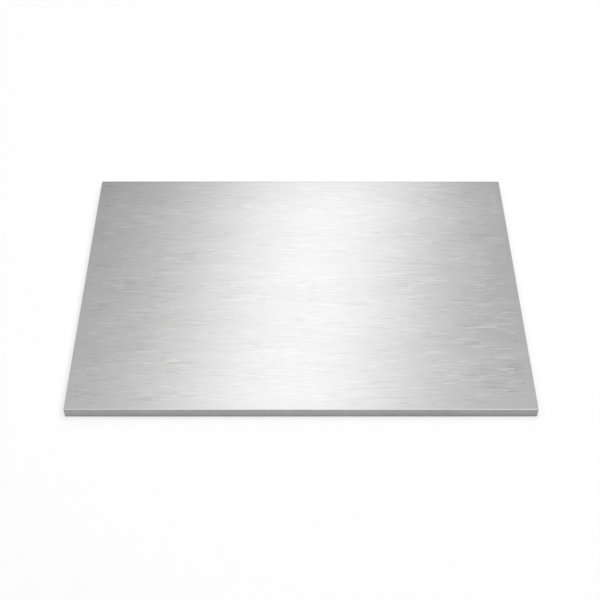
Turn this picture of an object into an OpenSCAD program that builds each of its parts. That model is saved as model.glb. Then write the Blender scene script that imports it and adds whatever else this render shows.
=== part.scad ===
// Flat steel plate, cut to a rectangle and brushed along its length.
// One solid: both faces are flat, the four corners are rounded off, and
// every edge of both faces is broken with a small radius that runs on
// round the corners. The plate lies on z = 0, centred on the z axis.

/* [Plate] */
// Length of the plate, along the grain of its faces (16 in)
plate_length = 406.4; // [100:0.1:1500]
// Width of the plate, across the grain (12 in)
plate_width = 304.8; // [50:0.1:1000]
// Thickness of the plate (3/8 in)
plate_thickness = 9.525; // [3:0.025:40]

/* [Broken edges] */
// Radius of the four upright corners, seen from above
corner_radius = 1.6; // [1:0.1:20]
// Radius of the edges of the top and bottom faces
edge_radius = 0.6; // [0.2:0.05:0.9]

/* [Hidden] */
$fn = 48;
// The corner arcs are centred this far from the middle of the plate
corner_x = plate_length / 2 - corner_radius;
corner_y = plate_width / 2 - corner_radius;

// Half of the plate's section, from a centre line out to an edge that is
// reach away, with that edge's two arrises rounded
module half_section(reach) {
    square([reach - edge_radius, plate_thickness]);
    translate([0, edge_radius])
        square([reach, plate_thickness - 2 * edge_radius]);
    for (arris_z = [edge_radius, plate_thickness - edge_radius])
        translate([reach - edge_radius, arris_z])
            circle(edge_radius);
}

// The plate's whole section, span wide, standing on the first axis
module section(span) {
    half_section(span / 2);
    mirror([1, 0])
        half_section(span / 2);
}

// Flat stock with two rounded edges: the section of the given span along
// x, carried along y for the given run
module bar(span, run) {
    rotate([90, 0, 0])
        linear_extrude(run, center = true)
            section(span);
}

// A quarter turn of the section, which carries both arrises round a corner
module corner() {
    rotate_extrude(angle = 90)
        half_section(corner_radius);
}

module steel_plate() {
    color([0.78, 0.78, 0.78]) {
        bar(plate_length, 2 * corner_y);
        rotate(90)
            bar(plate_width, 2 * corner_x);
        for (quarter = [0:3]) {
            side = quarter % 3 == 0 ? 1 : -1;
            end = quarter < 2 ? 1 : -1;
            translate([side * corner_x, end * corner_y, 0])
                rotate(90 * quarter)
                    corner();
        }
    }
}

steel_plate();
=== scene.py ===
"""Looks of a flat steel plate: brushed faces, sheared edges and bright broken arrises.

The plate lies on a white studio floor and is seen from the front and above. A tall
softbox behind it draws the soft bright band that crosses the brushed face, and two
lamps high at its sides draw the narrow shadow on the floor. The colours also hold
painted light: the brighter arrises are partly burnished and partly a painted highlight,
and there is painted shade along the face's back edge and towards the wall's foot.
"""

import logging
import math
from dataclasses import dataclass
from enum import Enum

import bpy
import numpy as np
from mathutils import Euler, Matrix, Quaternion, Vector


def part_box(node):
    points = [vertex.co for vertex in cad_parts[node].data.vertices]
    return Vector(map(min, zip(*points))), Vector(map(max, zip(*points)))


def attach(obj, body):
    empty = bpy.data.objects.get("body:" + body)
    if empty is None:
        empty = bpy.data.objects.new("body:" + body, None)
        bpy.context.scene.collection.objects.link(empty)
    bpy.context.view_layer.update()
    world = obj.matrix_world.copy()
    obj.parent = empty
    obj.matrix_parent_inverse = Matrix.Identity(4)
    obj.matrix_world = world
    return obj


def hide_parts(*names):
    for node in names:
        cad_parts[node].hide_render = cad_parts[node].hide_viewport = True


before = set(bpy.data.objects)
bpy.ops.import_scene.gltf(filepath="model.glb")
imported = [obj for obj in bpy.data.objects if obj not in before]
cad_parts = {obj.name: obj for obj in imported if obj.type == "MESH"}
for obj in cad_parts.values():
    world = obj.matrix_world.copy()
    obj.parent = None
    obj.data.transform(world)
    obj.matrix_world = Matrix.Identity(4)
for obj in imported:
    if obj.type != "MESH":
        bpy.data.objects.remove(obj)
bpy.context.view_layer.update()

LOG = logging.getLogger("steel_plate")
NODE = "steel_plate"
BODY = "root"
GRAIN_MAP = "Grain"
BAKE_MAP = "OFBake"
MILLIMETRE = 0.001
QUARTER_TURN = math.pi / 2
FACING_LEFT = 2 * QUARTER_TURN
FACING_FRONT = 3 * QUARTER_TURN
FULL_TURN = 4 * QUARTER_TURN
VIEW_AXIS = (0.0, 0.0, 1.0)
PLATE_MIDDLE = (0.0, 0.0, 0.0)

Socket = bpy.types.NodeSocket
SocketOrValue = bpy.types.NodeSocket | float
Point = tuple[float, float, float]
Colour = tuple[float, float, float, float]


class Surface(Enum):
    """The plate's finishes, each the index of its material slot."""

    FACE = 0
    ARRIS = 1
    EDGE = 2


def grey_colour(level: float) -> Colour:
    """A plain grey of the given level, from 0 to 1, in the form that a colour socket takes."""
    return (level, level, level, 1.0)


class NodeBoard:
    """Adds nodes to one node tree and wires them together."""

    def __init__(self, tree: bpy.types.NodeTree) -> None:
        """Keeps the tree that the nodes go into."""
        self.tree = tree

    def add(self, kind: str, **settings: object) -> bpy.types.Node:
        """Adds a node.

        Args:
            kind: The node's type, without the leading ShaderNode.
            **settings: Properties of the node to set.

        Returns:
            The new node.
        """
        node = self.tree.nodes.new("ShaderNode" + kind)
        for name, value in settings.items():
            setattr(node, name, value)
        return node

    def feed(self, target: Socket, source: SocketOrValue) -> None:
        """Links a socket to the target, or writes a plain value on it.

        Args:
            target: The input that is fed.
            source: An output to link, or a value.
        """
        if isinstance(source, bpy.types.NodeSocket):
            self.tree.links.new(source, target)
        else:
            target.default_value = source

    def math(self, operation: str, first: SocketOrValue, second: SocketOrValue = 0.0,
             third: SocketOrValue = 0.0) -> Socket:
        """Adds a Math node.

        Args:
            operation: Blender's name of the operation.
            first: First operand.
            second: Second operand, where the operation has one.
            third: Third operand, where the operation has one.

        Returns:
            The node's value.
        """
        node = self.add("Math", operation=operation)
        for socket, source in zip(node.inputs, (first, second, third)):
            self.feed(socket, source)
        return node.outputs["Value"]

    def stretch(self, place: Socket, along: SocketOrValue, across: SocketOrValue, shift: float) -> Socket:
        """Divides a place by the size of a grain line, so that noise on it has lines of that size.

        Args:
            place: Place on the metal, with the grain along its first axis.
            along: Length of a line.
            across: Width of a line.
            shift: How far the result is moved, to set layers apart.

        Returns:
            The stretched place.
        """
        size = self.add("CombineXYZ")
        for axis, source in zip("XYZ", (along, across, across)):
            self.feed(size.inputs[axis], source)
        divide = self.add("VectorMath", operation="DIVIDE")
        self.feed(divide.inputs[0], place)
        self.feed(divide.inputs[1], size.outputs["Vector"])
        move = self.add("VectorMath", operation="ADD")
        self.feed(move.inputs[0], divide.outputs["Vector"])
        move.inputs[1].default_value = (shift, shift, shift)
        return move.outputs["Vector"]

    def noise(self, place: Socket, detail: float) -> Socket:
        """Adds noise at a scale of one.

        Args:
            place: Where the noise is read: a point, or a value for noise along a line.
            detail: Number of finer layers.

        Returns:
            The noise, from -1 to 1.
        """
        on_line = place.type == "VALUE"
        node = self.add("TexNoise", noise_dimensions="1D" if on_line else "3D", normalize=False)
        self.feed(node.inputs["W" if on_line else "Vector"], place)
        node.inputs["Scale"].default_value = 1.0
        node.inputs["Detail"].default_value = detail
        return node.outputs["Fac"]

    def ramp(self, value: Socket, low: float, high: float, start: float = 0.0, end: float = 1.0) -> Socket:
        """Adds a smooth step.

        Args:
            value: What is stepped.
            low: Value below which the step hasn't begun.
            high: Value from which the step is done.
            start: Result below the step.
            end: Result above it.

        Returns:
            The stepped value.
        """
        node = self.add("MapRange", interpolation_type="SMOOTHSTEP")
        self.feed(node.inputs["Value"], value)
        for name, limit in (("From Min", low), ("From Max", high), ("To Min", start), ("To Max", end)):
            node.inputs[name].default_value = limit
        return node.outputs["Result"]


@dataclass(frozen=True)
class Drift:
    """Smooth noise that is drawn out along the grain.

    Attributes:
        length: Size along the grain, as a share of a streak's length.
        width: Size across it, as a share of a streak's width.
        detail: Number of finer layers.
        shift: How far it is moved, to set it apart from the others.
    """

    length: float
    width: float
    detail: float
    shift: float


@dataclass(frozen=True)
class StreakRows:
    """Streaks that lie in straight rows side by side, as a brushing belt leaves them.

    Attributes:
        width: Width of a row, as a share of a streak's width.
        strength: Strength of a full streak.
        shortest: Length of the streaks in the row with the shortest, as a share of the mean.
        length_spread: How much longer they are in the row with the longest.
        weakest: Strength of the streaks in the weakest row, as a share of the mean.
        weight_spread: How much stronger they are in the strongest row.
        faintest: Noise below which there is no streak.
        fullest: Noise from which a streak is full.
        detail: Number of finer layers in the noise along a row.
        jump: How far apart the noise of two rows may start.
    """

    width: float
    strength: float
    shortest: float = 0.45
    length_spread: float = 1.9
    weakest: float = 0.5
    weight_spread: float = 1.0
    faintest: float = 0.32
    fullest: float = 0.52
    detail: float = 1.0
    jump: float = 731.0


class GrainGroup:
    """Shader node group for the short lines that a brushing belt leaves in metal."""

    NAME = "Brushed grain"
    INPUTS = (("Vector", "NodeSocketVector"), ("Streak Length", "NodeSocketFloat"),
              ("Streak Width", "NodeSocketFloat"))
    OUTPUTS = ("Streaks", "Hairlines", "Patches")
    WIDE = StreakRows(width=1.7, strength=1.3)
    FINE = StreakRows(width=0.8, strength=0.8)
    DARK_SHARE = 0.8
    CLUSTERS = Drift(length=1.6, width=9.0, detail=1.0, shift=17.1)
    CLUSTER_EDGE = 0.4
    CLUSTER_CALM = 0.3
    CLUSTER_BUSY = 1.4
    HAIRLINES = Drift(length=2.0, width=0.3, detail=1.0, shift=11.3)
    PATCHES = Drift(length=5.0, width=26.0, detail=2.0, shift=23.9)
    HALF_ROW = 0.5

    @classmethod
    def tree(cls) -> bpy.types.NodeTree:
        """Finds the group, or builds it on first use.

        Returns:
            The node group.
        """
        return bpy.data.node_groups.get(cls.NAME) or cls().build()

    def __init__(self) -> None:
        """Makes the group with its sockets."""
        tree = bpy.data.node_groups.new(self.NAME, "ShaderNodeTree")
        for name, kind in self.INPUTS:
            tree.interface.new_socket(name, in_out="INPUT", socket_type=kind)
        for name in self.OUTPUTS:
            tree.interface.new_socket(name, in_out="OUTPUT", socket_type="NodeSocketFloat")
        self.board = NodeBoard(tree)
        inputs = tree.nodes.new("NodeGroupInput").outputs
        self.place, self.length, self.width = (inputs[name] for name, _ in self.INPUTS)

    def build(self) -> bpy.types.NodeTree:
        """Makes the group's nodes.

        Streaks are wide rows over fine ones, soft-limited, with dark lines weaker than light
        ones, and slow noise gathers them in clusters. Hairlines are finer noise, and patches
        are broad and slow.

        Returns:
            The node group.
        """
        board = self.board
        both = board.math("ADD", self.rows(self.WIDE), self.rows(self.FINE))
        both = board.math("MAXIMUM", both, board.math("MULTIPLY", both, self.DARK_SHARE))
        cluster = board.ramp(self.drift(self.CLUSTERS), -self.CLUSTER_EDGE, self.CLUSTER_EDGE,
                             self.CLUSTER_CALM, self.CLUSTER_BUSY)
        outputs = board.tree.nodes.new("NodeGroupOutput").inputs
        board.feed(outputs["Streaks"], board.math("TANH", board.math("MULTIPLY", both, cluster)))
        board.feed(outputs["Hairlines"], self.drift(self.HAIRLINES))
        board.feed(outputs["Patches"], self.drift(self.PATCHES))
        return board.tree

    def drift(self, drift: Drift) -> Socket:
        """Adds smooth noise.

        Args:
            drift: Its size, detail and place.

        Returns:
            The noise, from -1 to 1.
        """
        along = self.board.math("MULTIPLY", self.length, drift.length)
        across = self.board.math("MULTIPLY", self.width, drift.width)
        return self.board.noise(self.board.stretch(self.place, along, across, drift.shift), drift.detail)

    def rows(self, rows: StreakRows) -> Socket:
        """Adds rows of streaks.

        The whole part of the way across, in rows, numbers the row. The number draws the row's
        length, start and weight, and noise of its own runs along it: weak noise leaves no
        streak, and strong noise no more than a full one. Each is strongest in the row's middle.

        Args:
            rows: Their sizes and strength.

        Returns:
            The streaks, light ones above zero and dark ones below.
        """
        board = self.board
        axes = board.add("SeparateXYZ")
        board.feed(axes.inputs["Vector"], self.place)
        across = board.math("DIVIDE", axes.outputs["Y"], board.math("MULTIPLY", self.width, rows.width))
        dice = board.add("TexWhiteNoise", noise_dimensions="1D")
        board.feed(dice.inputs["W"], board.math("FLOOR", across))
        chance = board.add("SeparateColor")
        board.feed(chance.inputs["Color"], dice.outputs["Color"])

        pace = board.math("MULTIPLY_ADD", chance.outputs["Red"], rows.length_spread, rows.shortest)
        along = board.math("DIVIDE", axes.outputs["X"], board.math("MULTIPLY", self.length, pace))
        along = board.math("MULTIPLY_ADD", chance.outputs["Green"], rows.jump, along)
        noise = board.noise(along, rows.detail)
        size = board.math("ABSOLUTE", noise)
        strength = board.ramp(size, rows.faintest, rows.fullest, 0.0, rows.strength)
        signed = board.math("MULTIPLY", strength, board.math("SIGN", noise))
        weight = board.math("MULTIPLY_ADD", chance.outputs["Blue"], rows.weight_spread, rows.weakest)
        middle = board.ramp(board.math("PINGPONG", across, self.HALF_ROW), 0.0, self.HALF_ROW)
        return board.math("MULTIPLY", board.math("MULTIPLY", signed, weight), middle)


@dataclass(frozen=True)
class FadingShade:
    """Painted shade: a darker strip along an edge of the metal that fades out away from it.

    Attributes:
        tone: How much darker the painted shade makes the metal at the edge.
        width: Distance from the edge at which that has gone, in metres.
    """

    tone: float
    width: float

    def over(self, board: NodeBoard, tone: Socket, distance: Socket) -> Socket:
        """Multiplies a tone by a smooth step, which rises from one less the shade at the edge to one.

        Args:
            board: The material's nodes.
            tone: The tone without this shade.
            distance: Distance from the edge.

        Returns:
            The tone with the shade.
        """
        return board.math("MULTIPLY", tone, board.ramp(distance, 0.0, self.width, 1.0 - self.tone))


@dataclass(frozen=True)
class SteelFinish:
    """A bare steel finish with grain.

    Attributes:
        name: Name of the material.
        grey: Base colour, the same in every channel.
        roughness: Mean roughness.
        anisotropy: How far the shine is drawn out across the grain.
        streak_length: Length of one streak, in metres.
        streak_width: Width of one streak, in metres.
        tone: How far streaks lighten and darken the metal.
        patch_tone: How far broad patches do.
        streak_roughness: How far streaks change the roughness.
        hair_roughness: How far hairlines change it.
        relief: Depth of the grain, in metres.
        margin: Width of the calm strip along the outline, in metres, where streaks fade out.
        foot_painted_shades: Painted shade towards the foot, in place of the floor's mirrored shadow.
        back_painted_shades: Painted shade along the back edge of the face, darkest there and fading
            inwards.
    """

    name: str
    grey: float
    roughness: float
    anisotropy: float
    streak_length: float
    streak_width: float
    tone: float
    patch_tone: float
    streak_roughness: float
    hair_roughness: float
    relief: float
    margin: float = 0.0
    foot_painted_shades: tuple[FadingShade, ...] = ()
    back_painted_shades: tuple[FadingShade, ...] = ()

    ACROSS_GRAIN = 0.25

    def material(self, half_length: float, half_width: float) -> bpy.types.Material:
        """Builds the material: grain on the UV map in metres, feeding colour, roughness and bump.

        Args:
            half_length: Distance from the plate's middle to its ends.
            half_width: Distance from the plate's middle to its long edges.

        Returns:
            The new material.
        """
        material = bpy.data.materials.new(self.name)
        material.use_nodes = True
        board = NodeBoard(material.node_tree)
        shader = material.node_tree.nodes["Principled BSDF"]
        shader.inputs["Metallic"].default_value = 1.0
        shader.inputs["Anisotropic"].default_value = self.anisotropy
        shader.inputs["Anisotropic Rotation"].default_value = self.ACROSS_GRAIN
        tangent = board.add("Tangent", direction_type="UV_MAP", uv_map=GRAIN_MAP)
        board.feed(shader.inputs["Tangent"], tangent.outputs["Tangent"])
        place = board.add("UVMap", uv_map=GRAIN_MAP)
        grain = board.add("Group", node_tree=GrainGroup.tree())
        board.feed(grain.inputs["Vector"], place.outputs["UV"])
        grain.inputs["Streak Length"].default_value = self.streak_length
        grain.inputs["Streak Width"].default_value = self.streak_width
        streaks, hairlines, patches = (grain.outputs[name] for name in GrainGroup.OUTPUTS)
        axes = board.add("SeparateXYZ")
        board.feed(axes.inputs["Vector"], board.add("TexCoord").outputs["Object"])
        if self.margin:
            streaks = board.math("MULTIPLY", streaks, self._calm(board, axes, half_length, half_width))

        board.feed(shader.inputs["Base Color"], self._colour(board, axes, streaks, patches, half_width))
        rough = board.math("MULTIPLY_ADD", streaks, self.streak_roughness, self.roughness)
        rough = board.math("MULTIPLY_ADD", hairlines, self.hair_roughness, rough)
        board.feed(shader.inputs["Roughness"], rough)

        bump = board.add("Bump")
        bump.inputs["Strength"].default_value = 1.0
        bump.inputs["Distance"].default_value = self.relief
        board.feed(bump.inputs["Height"], board.math("ADD", hairlines, streaks))
        board.feed(shader.inputs["Normal"], bump.outputs["Normal"])
        return material

    def _colour(self, board: NodeBoard, axes: bpy.types.Node, streaks: Socket, patches: Socket,
                half_width: float) -> Socket:
        """Base colour: the grey, times one plus the tones of streaks and patches, under the painted shades.

        Args:
            board: The material's nodes.
            axes: The node that gives the place on the plate.
            streaks: Strength of the streaks.
            patches: Strength of the patches.
            half_width: Distance from the plate's middle to its long edges.

        Returns:
            The colour.
        """
        tone = board.math("MULTIPLY_ADD", streaks, self.tone, 1.0)
        tone = board.math("MULTIPLY_ADD", patches, self.patch_tone, tone)
        # Painted shade: the sheared wall darker towards its foot, where it mirrors the floor's shadow.
        for shade in self.foot_painted_shades:
            tone = shade.over(board, tone, axes.outputs["Z"])
        # Painted shade: the face darker along its back edge.
        for shade in self.back_painted_shades:
            tone = shade.over(board, tone, board.math("SUBTRACT", half_width, axes.outputs["Y"]))
        grey = board.math("MULTIPLY", tone, self.grey)
        colour = board.add("CombineColor")
        for channel in ("Red", "Green", "Blue"):
            board.feed(colour.inputs[channel], grey)
        return colour.outputs["Color"]

    def _calm(self, board: NodeBoard, axes: bpy.types.Node, half_length: float,
              half_width: float) -> Socket:
        """Share of the streaks that is left: none at the outline, all of them past the margin.

        Args:
            board: The material's nodes.
            axes: The node that gives the place on the plate.
            half_length: Distance from the plate's middle to its ends.
            half_width: Distance from the plate's middle to its long edges.

        Returns:
            The share, from 0 to 1.
        """
        shares = []
        for axis, reach in (("X", half_length), ("Y", half_width)):
            inside = board.math("SUBTRACT", reach, board.math("ABSOLUTE", axes.outputs[axis]))
            shares.append(board.ramp(inside, 0.0, self.margin))
        return board.math("MULTIPLY", *shares)


FINISHES = {
    Surface.FACE: SteelFinish(
        name="Brushed face", grey=0.63, roughness=0.40, anisotropy=0.80,
        streak_length=25 * MILLIMETRE, streak_width=1.1 * MILLIMETRE,
        tone=0.155, patch_tone=0.03, streak_roughness=0.048, hair_roughness=0.02,
        relief=0.004 * MILLIMETRE, margin=10 * MILLIMETRE,
        # Painted shade along the back edge of the face.
        back_painted_shades=(FadingShade(tone=0.15, width=4 * MILLIMETRE),
                     FadingShade(tone=0.06, width=60 * MILLIMETRE))),
    # Brighter steel than the face: partly a burnished arris, partly a painted highlight.
    Surface.ARRIS: SteelFinish(
        name="Broken arris", grey=0.73, roughness=0.42, anisotropy=0.0,
        streak_length=40 * MILLIMETRE, streak_width=0.4 * MILLIMETRE,
        tone=0.06, patch_tone=0.02, streak_roughness=0.03, hair_roughness=0.03,
        relief=0.002 * MILLIMETRE),
    Surface.EDGE: SteelFinish(
        name="Sheared edge", grey=0.34, roughness=0.30, anisotropy=0.1,
        streak_length=14 * MILLIMETRE, streak_width=0.5 * MILLIMETRE,
        tone=0.12, patch_tone=0.06, streak_roughness=0.06, hair_roughness=0.06,
        # Painted shade towards the foot of the wall.
        relief=0.005 * MILLIMETRE, foot_painted_shades=(FadingShade(tone=0.16, width=6 * MILLIMETRE),)),
}


def quads(grid: np.ndarray) -> np.ndarray:
    """Faces of a grid of vertex indices.

    Args:
        grid: Vertex indices, by row and column.

    Returns:
        Four indices for each cell, in turn round it.
    """
    corners = (grid[:-1, :-1], grid[:-1, 1:], grid[1:, 1:], grid[1:, :-1])
    return np.stack([corner.ravel() for corner in corners], axis=1)


@dataclass(frozen=True)
class BakeSheet:
    """Layout of the whole plate on one square picture: two faces side by side over four rim strips.

    Attributes:
        gap: Space left between the patches and at the picture's border.
        strip: Height of one rim strip.
    """

    gap: float = 0.008
    strip: float = 0.034

    FACES = 2
    STRIPS = 4

    def face(self, share: np.ndarray, column: int) -> np.ndarray:
        """Places a face.

        Args:
            share: Points of the face, as shares of the plate's length and width.
            column: 0 for the patch on the left, 1 for the one on the right.

        Returns:
            The points on the picture.
        """
        wide = (1 - (self.FACES + 1) * self.gap) / self.FACES
        base = (self.STRIPS + 1) * self.gap + self.STRIPS * self.strip
        start = np.array([self.gap + column * (wide + self.gap), base])
        return start + share * np.array([wide, 1 - self.gap - base])

    def rim(self, along: np.ndarray, down: np.ndarray, run: np.ndarray) -> np.ndarray:
        """Places points of the rim on the strip of their run.

        Args:
            along: Shares of the longest run.
            down: Shares of the rim's height.
            run: Number of each point's run, counted from 0 at the front.

        Returns:
            The points on the picture.
        """
        u = self.gap + along * (1 - 2 * self.gap)
        v = self.gap + run * (self.strip + self.gap) + down * self.strip
        return np.stack([u, v], axis=-1)


@dataclass
class Plate:
    """The steel plate as one closed shell.

    Attributes:
        length: Size along x, the way of the grain.
        width: Size along y.
        thickness: Size along z, up from the floor.
        corner_radius: Radius of the upright corners.
        edge_radius: Radius of the arrises of both faces.
        corner_steps: Faces round one corner, an even number.
        arris_steps: Faces over one arris.
        highlight_steps: How many of those at the top, from the face on, show the painted highlight.
        wall_steps: Faces up the wall between two arrises.
        columns: Faces along the straight run of the length.
        rows: Faces along the straight run of the width.
        under_shift: How far the grain of the face below is moved, so that it isn't a copy.
    """

    length: float
    width: float
    thickness: float
    corner_radius: float = 1.6 * MILLIMETRE
    edge_radius: float = 0.6 * MILLIMETRE
    corner_steps: int = 10
    arris_steps: int = 10
    highlight_steps: int = 6
    wall_steps: int = 4
    columns: int = 48
    rows: int = 36
    under_shift: float = 0.7

    MIRRORED = (-1.0, 1.0)
    PICTURE_MIDDLE = (0.5, 0.5)
    PICTURE_RIGHT = (1.0, 0.0)

    @classmethod
    def from_frame(cls) -> "Plate":
        """Takes the plate's three sizes from its solid in the frame."""
        low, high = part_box(NODE)
        return cls(*(high - low))

    @property
    def core(self) -> np.ndarray:
        """Centre of the corner arc at the right of the back."""
        return np.array([self.length, self.width]) / 2 - self.corner_radius

    def front_outline(self) -> tuple[np.ndarray, np.ndarray]:
        """Front half of the outline: a quarter arc, the straight run, and another quarter arc.

        A point of the outline is its core point plus the corner radius along its normal; the
        core point stays at a corner's centre along an arc and walks along the run between.

        Returns:
            The x of each core point, and the angle of each outward normal.
        """
        reach = self.core[0]
        arc = np.linspace(0.0, QUARTER_TURN, self.corner_steps + 1)
        run = np.linspace(-reach, reach, self.columns + 1)
        x = np.concatenate([np.full(self.corner_steps, -reach), run, np.full(self.corner_steps, reach)])
        angle = np.concatenate([FACING_LEFT + arc[:-1], np.full(run.size, FACING_FRONT),
                                FACING_FRONT + arc[1:]])
        return x, angle

    def outline(self) -> tuple[np.ndarray, np.ndarray]:
        """The outline once round: the front half, the right side, and the same two turned half round.

        Returns:
            The core point and the outward normal of each point.
        """
        front_x, angle = self.front_outline()
        side_y = np.linspace(-self.core[1], self.core[1], self.rows + 1)[1:-1]
        front = np.stack([front_x, np.full_like(front_x, -self.core[1])], axis=1)
        side = np.stack([np.full_like(side_y, self.core[0]), side_y], axis=1)
        core = np.concatenate([front, side])
        normal = np.concatenate([np.stack([np.cos(angle), np.sin(angle)], axis=1),
                                 np.broadcast_to((1.0, 0.0), side.shape)])
        return np.concatenate([core, -core]), np.concatenate([normal, -normal])

    def face(self) -> np.ndarray:
        """Flat part of a face: columns ruled from the front half of the outline to the back half.

        Returns:
            The x and y of each point, by row and column.
        """
        front_x, angle = self.front_outline()
        reach = self.corner_radius - self.edge_radius
        share = np.linspace(-1.0, 1.0, self.rows + 1)[:, None]
        x = np.broadcast_to(front_x + reach * np.cos(angle), (share.size, angle.size))
        return np.stack([x, share * (self.core[1] - reach * np.sin(angle))], axis=2)

    def profile(self) -> np.ndarray:
        """Half section of the rim: a quarter arc down, the straight wall, and a quarter arc under.

        Returns:
            Rows of how far in from the outline, height, and the normal's outward and upward parts.
        """
        turn = np.linspace(0.0, QUARTER_TURN, self.arris_steps + 1)
        high, low = self.thickness - self.edge_radius, self.edge_radius
        wall = np.linspace(high, low, self.wall_steps + 1)[1:-1]
        tilt = np.concatenate([QUARTER_TURN - turn, np.zeros(wall.size), -turn])
        centre = np.concatenate([np.full(turn.size, high), wall, np.full(turn.size, low)])
        inset = self.edge_radius * (1 - np.cos(tilt))
        height = centre + self.edge_radius * np.sin(tilt)
        return np.stack([inset, height, np.cos(tilt), np.sin(tilt)], axis=1)

    def rim(self) -> tuple[np.ndarray, np.ndarray]:
        """The rim: the profile carried round the outline.

        Returns:
            Points and normals, by step of the profile and step of the outline.
        """
        core, normal = self.outline()
        inset, height, out, up = (column[:, None, None] for column in self.profile().T)
        flat = core + normal * (self.corner_radius - inset)
        level = np.ones((*flat.shape[:2], 1))
        points = np.concatenate([flat, height * level], axis=2)
        return points, np.concatenate([normal * out, up * level], axis=2)

    def rim_maps(self, sheet: BakeSheet) -> tuple[np.ndarray, np.ndarray]:
        """Both maps of the rim: way round the outline against way down the profile.

        The picture's map starts a new strip in the middle of each corner.

        Args:
            sheet: Layout of the picture.

        Returns:
            The grain map, in metres, and the picture's map, for each corner of each face.
        """
        points, _ = self.rim()
        ring = points[self.arris_steps]
        count = len(ring)
        gaps = np.linalg.norm(np.diff(ring, axis=0, append=ring[:1]), axis=1)
        way = np.concatenate([[0.0], np.cumsum(np.tile(gaps, 2))])
        drops = np.linalg.norm(np.diff(self.profile()[:, :2], axis=0), axis=1)
        down = np.concatenate([[0.0], np.cumsum(drops)])

        middle = self.corner_steps // 2
        last = self.columns + 2 * self.corner_steps - middle
        cuts = np.array([middle, last, count // 2 + middle, count // 2 + last])
        cell = np.arange(count)
        cell = np.where(cell < middle, cell + count, cell)
        run = np.searchsorted(cuts, cell, side="right") - 1
        start = way[cuts][run]
        longest = np.max(way[cell + 1] - start)

        ends = np.stack([cell, cell + 1, cell + 1, cell], axis=1)
        levels = np.stack([down[1:], down[1:], down[:-1], down[:-1]], axis=1)
        shape = (len(levels), *ends.shape)
        level = np.broadcast_to(levels[:, None], shape)
        grain = np.stack([np.broadcast_to(way[ends], shape), level], axis=-1)
        along = np.broadcast_to((way[ends] - start[:, None]) / longest, shape)
        picture = sheet.rim(along, level / down[-1], np.broadcast_to(run[:, None], shape))
        return tuple(place.reshape(-1, *place.shape[2:]) for place in (grain, picture))

    def rim_slots(self) -> np.ndarray:
        """Finish of each profile step: sheared wall between bright arrises, partly a painted highlight.

        Returns:
            The material slot of each step.
        """
        step = np.arange(len(self.profile()) - 1)
        # The upper steps of the top arris take the painted highlight; the lower ones join the wall.
        on_wall = (step >= self.highlight_steps) & (step < len(step) - self.arris_steps)
        return np.where(on_wall, Surface.EDGE.value, Surface.ARRIS.value)

    def maps(self, flat: np.ndarray, cells: np.ndarray, under: np.ndarray) -> dict[str, np.ndarray]:
        """Both maps of the whole shell, where the face below is mirrored, as it is seen from below.

        Args:
            flat: The x and y of each point of a face.
            cells: Four indices for each cell of the face above.
            under: The same for the face below.

        Returns:
            Maps by name, each with a point for each corner of each face.
        """
        sheet = BakeSheet()
        rim_grain, rim_picture = self.rim_maps(sheet)
        turned = flat * self.MIRRORED + self.under_shift
        share = flat / (self.length, self.width) + self.PICTURE_MIDDLE
        turned_share = share * self.MIRRORED + self.PICTURE_RIGHT
        patches = [sheet.face(share, 0)[cells], sheet.face(turned_share, 1)[under], rim_picture]
        return {GRAIN_MAP: np.concatenate([flat[cells], turned[under], rim_grain]),
                BAKE_MAP: np.concatenate(patches)}

    def build(self) -> bpy.types.Object:
        """Builds the shell from two faces and the rim that joins their outlines, and dresses it.

        Returns:
            The plate's object.
        """
        face = self.face()
        flat = face.reshape(-1, 2)
        grid = np.arange(len(flat)).reshape(face.shape[:2])
        level = np.ones((len(flat), 1))
        rim, rim_normal = self.rim()
        top = np.hstack([flat, self.thickness * level])
        bottom = np.hstack([flat, 0.0 * level])
        points = np.concatenate([top, bottom, rim[1:-1].reshape(-1, 3)])
        upward = np.hstack([0.0 * flat, level])
        normals = np.concatenate([upward, -upward, rim_normal[1:-1].reshape(-1, 3)])

        loop = np.concatenate([grid[0], grid[1:-1, -1], grid[-1, ::-1], grid[-2:0:-1, 0]])
        between = 2 * len(flat) + np.arange((len(rim) - 2) * len(loop)).reshape(-1, len(loop))
        ring = np.concatenate([loop[None], between, loop[None] + len(flat)])
        closed = np.hstack([ring, ring[:, :1]])
        cells = quads(grid)
        under = cells[:, ::-1]
        faces = np.concatenate([cells, under + len(flat), quads(closed)[:, ::-1]])
        slots = np.concatenate([np.full(2 * len(cells), Surface.FACE.value),
                                np.repeat(self.rim_slots(), len(loop))])
        return self._object(points, normals, faces, self.maps(flat, cells, under), slots)

    def _object(self, points: np.ndarray, normals: np.ndarray, faces: np.ndarray,
                maps: dict[str, np.ndarray], slots: np.ndarray) -> bpy.types.Object:
        """Puts the arrays into a mesh object.

        Args:
            points: Vertex positions.
            normals: Vertex normals.
            faces: Four vertex indices for each face.
            maps: UV maps by name, each with a point for each corner of each face.
            slots: Material slot of each face.

        Returns:
            The new object.
        """
        mesh = bpy.data.meshes.new("plate")
        mesh.from_pydata(points.tolist(), [], faces.tolist())
        for name, place in maps.items():
            mesh.uv_layers.new(name=name).uv.foreach_set("vector", place.astype(np.float32).ravel())
        for surface in Surface:
            mesh.materials.append(FINISHES[surface].material(self.length / 2, self.width / 2))
        mesh.polygons.foreach_set("material_index", slots.astype(np.int32))
        mesh.polygons.foreach_set("use_smooth", np.ones(len(faces), dtype=bool))
        mesh.normals_split_custom_set_from_vertices(normals.tolist())
        mesh.validate()
        plate = bpy.data.objects.new("plate", mesh)
        bpy.context.scene.collection.objects.link(plate)
        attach(plate, BODY)
        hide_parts(NODE)
        return plate


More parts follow.
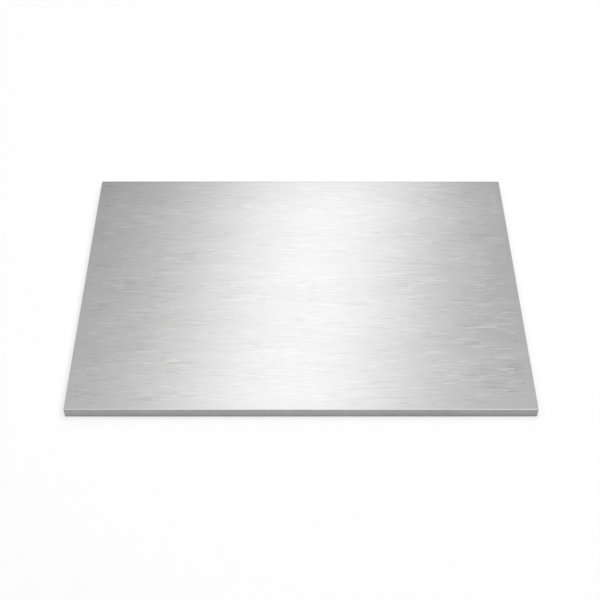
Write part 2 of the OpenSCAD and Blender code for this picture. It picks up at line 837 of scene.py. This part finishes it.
@dataclass(frozen=True)
class SoftLamp:
    """A flat softbox.

    Attributes:
        name: Name of the lamp.
        place: Its centre.
        width: Its width.
        height: Its height.
        brightness: Light that its surface gives off, where 1 shows as white.
        aim: The point it faces.
        lean: How far it is turned about its own axis, in degrees.
        on_floor: Whether its light falls on the floor, or is flagged off it.
        in_metal: Whether it shows in the metal.
    """

    name: str
    place: Point
    width: float
    height: float
    brightness: float
    aim: Point = PLATE_MIDDLE
    lean: float = 0.0
    on_floor: bool = True
    in_metal: bool = True

    def build(self) -> bpy.types.Object:
        """Creates the lamp, whose power is its brightness times pi times its area.

        Returns:
            The lamp's object.
        """
        lamp = bpy.data.lights.new(self.name, "AREA")
        lamp.shape = "RECTANGLE"
        lamp.size = self.width
        lamp.size_y = self.height
        lamp.energy = self.brightness * math.pi * self.width * self.height
        stand = bpy.data.objects.new(self.name, lamp)
        stand.visible_diffuse = self.on_floor
        stand.visible_glossy = self.in_metal
        stand.location = self.place
        towards = Vector(self.aim) - Vector(self.place)
        lean = Quaternion(VIEW_AXIS, math.radians(self.lean))
        stand.rotation_mode = "QUATERNION"
        stand.rotation_quaternion = towards.to_track_quat("-Z", "Y") @ lean
        bpy.context.scene.collection.objects.link(stand)
        return stand


# The strip draws the band on the face. The two keys light the floor alone, for its narrow shadow.
LAMPS = (
    SoftLamp("back strip", place=(0.02, 1.50, 1.55), width=0.42, height=2.4, brightness=2.5,
             aim=(0.02, 0.0, 0.0), lean=-15.0),
    SoftLamp("back right", place=(0.6, 1.6, 0.5), width=0.6, height=0.6, brightness=0.44, on_floor=False),
    SoftLamp("ceiling", place=(0.2, -0.5, 2.4), width=4.0, height=3.0, brightness=1.0,
             aim=(0.2, -0.5, 0.0)),
    SoftLamp("back ceiling", place=(0.0, 0.9, 2.4), width=4.0, height=1.4, brightness=0.44),
    SoftLamp("front fill", place=(0.45, -1.6, 1.5), width=2.0, height=1.4, brightness=1.3, on_floor=False),
    SoftLamp("right key", place=(1.5, 0.0, 3.2), width=1.0, height=1.0, brightness=7.0, in_metal=False),
    SoftLamp("left key", place=(-2.2, 0.0, 2.8), width=1.2, height=1.2, brightness=2.2, in_metal=False),
)


@dataclass(frozen=True)
class PanelRing:
    """Dim panels that stand round the plate, and show in it from its ends and corners.

    Attributes:
        angles: Where they stand about the z axis, in degrees from the x axis.
        radius: Their distance from that axis.
        lift: Height of their centres.
        width: Width of each.
        height: Height of each.
        brightness: Light that each gives off, where 1 shows as white.
    """

    angles: tuple[int, ...] = (0, 45, 135, 180, 225, 315)
    radius: float = 2.7
    lift: float = 1.7
    width: float = 2.0
    height: float = 1.5
    brightness: float = 0.8

    def lamps(self) -> tuple[SoftLamp, ...]:
        """Works out the panels, each on the circle and facing the plate's middle.

        Returns:
            One lamp for each angle, kept off the floor.
        """
        turns = [math.radians(angle) for angle in self.angles]
        places = [(self.radius * math.cos(turn), self.radius * math.sin(turn), self.lift) for turn in turns]
        return tuple(SoftLamp(f"panel {angle}", place=place, width=self.width, height=self.height,
                              brightness=self.brightness, on_floor=False)
                     for angle, place in zip(self.angles, places))


@dataclass(frozen=True)
class Studio:
    """The white floor that turns up into a wall all round, and the grey room above it.

    Attributes:
        floor_radius: Radius of the level floor.
        cove_radius: Radius of the turn from floor to wall.
        wall_height: Height of the wall above the turn.
        glow: Light that the white round the plate gives off to the camera and to the metal.
        shade: Colour there that takes the lamps' light and the plate's shadow on top of the glow.
        shaded_radius: Distance from the plate's middle up to which the floor takes shadow.
        white_radius: Distance from which it is plain white.
        white: Colour of the floor for all other light.
        room_grey: Brightness of the room above the wall.
        around_steps: Faces round the floor.
        cove_steps: Faces over the turn.
    """

    floor_radius: float = 4.0
    cove_radius: float = 0.8
    wall_height: float = 0.4
    glow: float = 0.517
    shade: float = 0.6
    shaded_radius: float = 0.5
    white_radius: float = 1.3
    white: float = 0.85
    room_grey: float = 0.02
    around_steps: int = 96
    cove_steps: int = 12

    def build(self) -> bpy.types.Object:
        """Builds the floor, its material and the room.

        The floor is a profile turned about the z axis: from the middle out, through the
        quarter turn, and up the wall.

        Returns:
            The floor's object.
        """
        turn = np.linspace(0.0, QUARTER_TURN, self.cove_steps + 1)
        wall = self.floor_radius + self.cove_radius
        top = self.cove_radius + self.wall_height
        radius = np.append(self.floor_radius + self.cove_radius * np.sin(turn), wall)[:, None]
        height = np.append(self.cove_radius * (1 - np.cos(turn)), top)[:, None]
        angle = np.linspace(0.0, FULL_TURN, self.around_steps, endpoint=False)
        rings = np.stack([radius * np.cos(angle), radius * np.sin(angle), height + 0.0 * angle], axis=2)
        points = np.concatenate([np.zeros((1, 3)), rings.reshape(-1, 3)])
        index = 1 + np.arange(rings.shape[0] * rings.shape[1]).reshape(rings.shape[:2])
        closed = np.hstack([index, index[:, :1]])
        fan = np.stack([np.zeros(self.around_steps, dtype=int), closed[0, :-1], closed[0, 1:]], axis=1)
        mesh = bpy.data.meshes.new("floor")
        mesh.from_pydata(points.tolist(), [], fan.tolist() + quads(closed)[:, ::-1].tolist())
        mesh.polygons.foreach_set("use_smooth", np.ones(len(mesh.polygons), dtype=bool))
        mesh.materials.append(self.material())
        floor = bpy.data.objects.new("floor", mesh)
        bpy.context.scene.collection.objects.link(floor)
        self.room()
        return floor

    def room(self) -> None:
        """Fills the room above the wall with even light."""
        world = bpy.data.worlds.new("room")
        world.use_nodes = True
        background = world.node_tree.nodes["Background"]
        background.inputs["Color"].default_value = grey_colour(1.0)
        background.inputs["Strength"].default_value = self.room_grey
        bpy.context.scene.world = world

    def material(self) -> bpy.types.Material:
        """White that glows for the camera and in the metal, and still takes the plate's shadow.

        Returns:
            The new material.
        """
        material = bpy.data.materials.new("White floor")
        material.use_nodes = True
        tree = material.node_tree
        tree.nodes.clear()
        board = NodeBoard(tree)
        plain = board.add("BsdfDiffuse")
        plain.inputs["Color"].default_value = grey_colour(self.white)
        shaded = board.add("BsdfDiffuse")
        shaded.inputs["Color"].default_value = grey_colour(self.shade)
        glow = board.add("Emission")
        glow.inputs["Strength"].default_value = self.glow
        both = board.add("AddShader")
        board.feed(both.inputs[0], shaded.outputs["BSDF"])
        board.feed(both.inputs[1], glow.outputs["Emission"])
        away = board.add("VectorMath", operation="LENGTH")
        board.feed(away.inputs[0], board.add("TexCoord").outputs["Object"])
        backdrop = board.add("MixShader")
        board.feed(backdrop.inputs["Fac"],
                   board.ramp(away.outputs["Value"], self.shaded_radius, self.white_radius))
        board.feed(backdrop.inputs[1], both.outputs["Shader"])
        board.feed(backdrop.inputs[2], board.add("Emission").outputs["Emission"])
        path = board.add("LightPath")
        seen = board.math("MAXIMUM", path.outputs["Is Camera Ray"], path.outputs["Is Glossy Ray"])
        seen = board.math("MAXIMUM", seen, path.outputs["Is Transmission Ray"])
        choice = board.add("MixShader")
        board.feed(choice.inputs["Fac"], seen)
        board.feed(choice.inputs[1], plain.outputs["BSDF"])
        board.feed(choice.inputs[2], backdrop.outputs["Shader"])
        output = board.add("OutputMaterial")
        board.feed(output.inputs["Surface"], choice.outputs["Shader"])
        return material


@dataclass(frozen=True)
class PhotoCamera:
    """The camera that took the picture.

    Attributes:
        place: Its position.
        pitch: How far it looks down, in degrees.
        yaw: How far it is turned to the right, in degrees.
        roll: How far it is tipped to the left, in degrees.
        focal_length: Focal length, in millimetres on a sensor 36 mm wide.
    """

    place: Point = (-0.00355, -0.85215, 0.83985)
    pitch: float = 44.929
    yaw: float = 0.193
    roll: float = 0.139
    focal_length: float = 76.03

    def build(self) -> bpy.types.Object:
        """Creates the camera and makes it the scene's own.

        Returns:
            The camera's object.
        """
        data = bpy.data.cameras.new("camera")
        data.lens = self.focal_length
        camera = bpy.data.objects.new("camera", data)
        camera.location = self.place
        look = Euler((QUARTER_TURN - math.radians(self.pitch), 0.0, -math.radians(self.yaw)))
        camera.rotation_mode = "QUATERNION"
        camera.rotation_quaternion = look.to_quaternion() @ Quaternion(VIEW_AXIS, math.radians(self.roll))
        bpy.context.scene.collection.objects.link(camera)
        bpy.context.scene.camera = camera
        return camera


def main() -> None:
    """Builds the camera, the plate, the studio and the lamps in turn, and reports each."""
    logging.basicConfig(level=logging.INFO, format="%(name)s: %(message)s")
    bpy.context.scene.view_settings.view_transform = "Standard"
    LOG.info("set up %s", PhotoCamera().build().name)
    plate = Plate.from_frame().build()
    LOG.info("built %s with %d faces", plate.name, len(plate.data.polygons))
    floor = Studio().build()
    LOG.info("laid %s", floor.name)
    for lamp in LAMPS + PanelRing().lamps():
        LOG.info("set up %s", lamp.build().name)


if __name__ == "__main__":
    main()
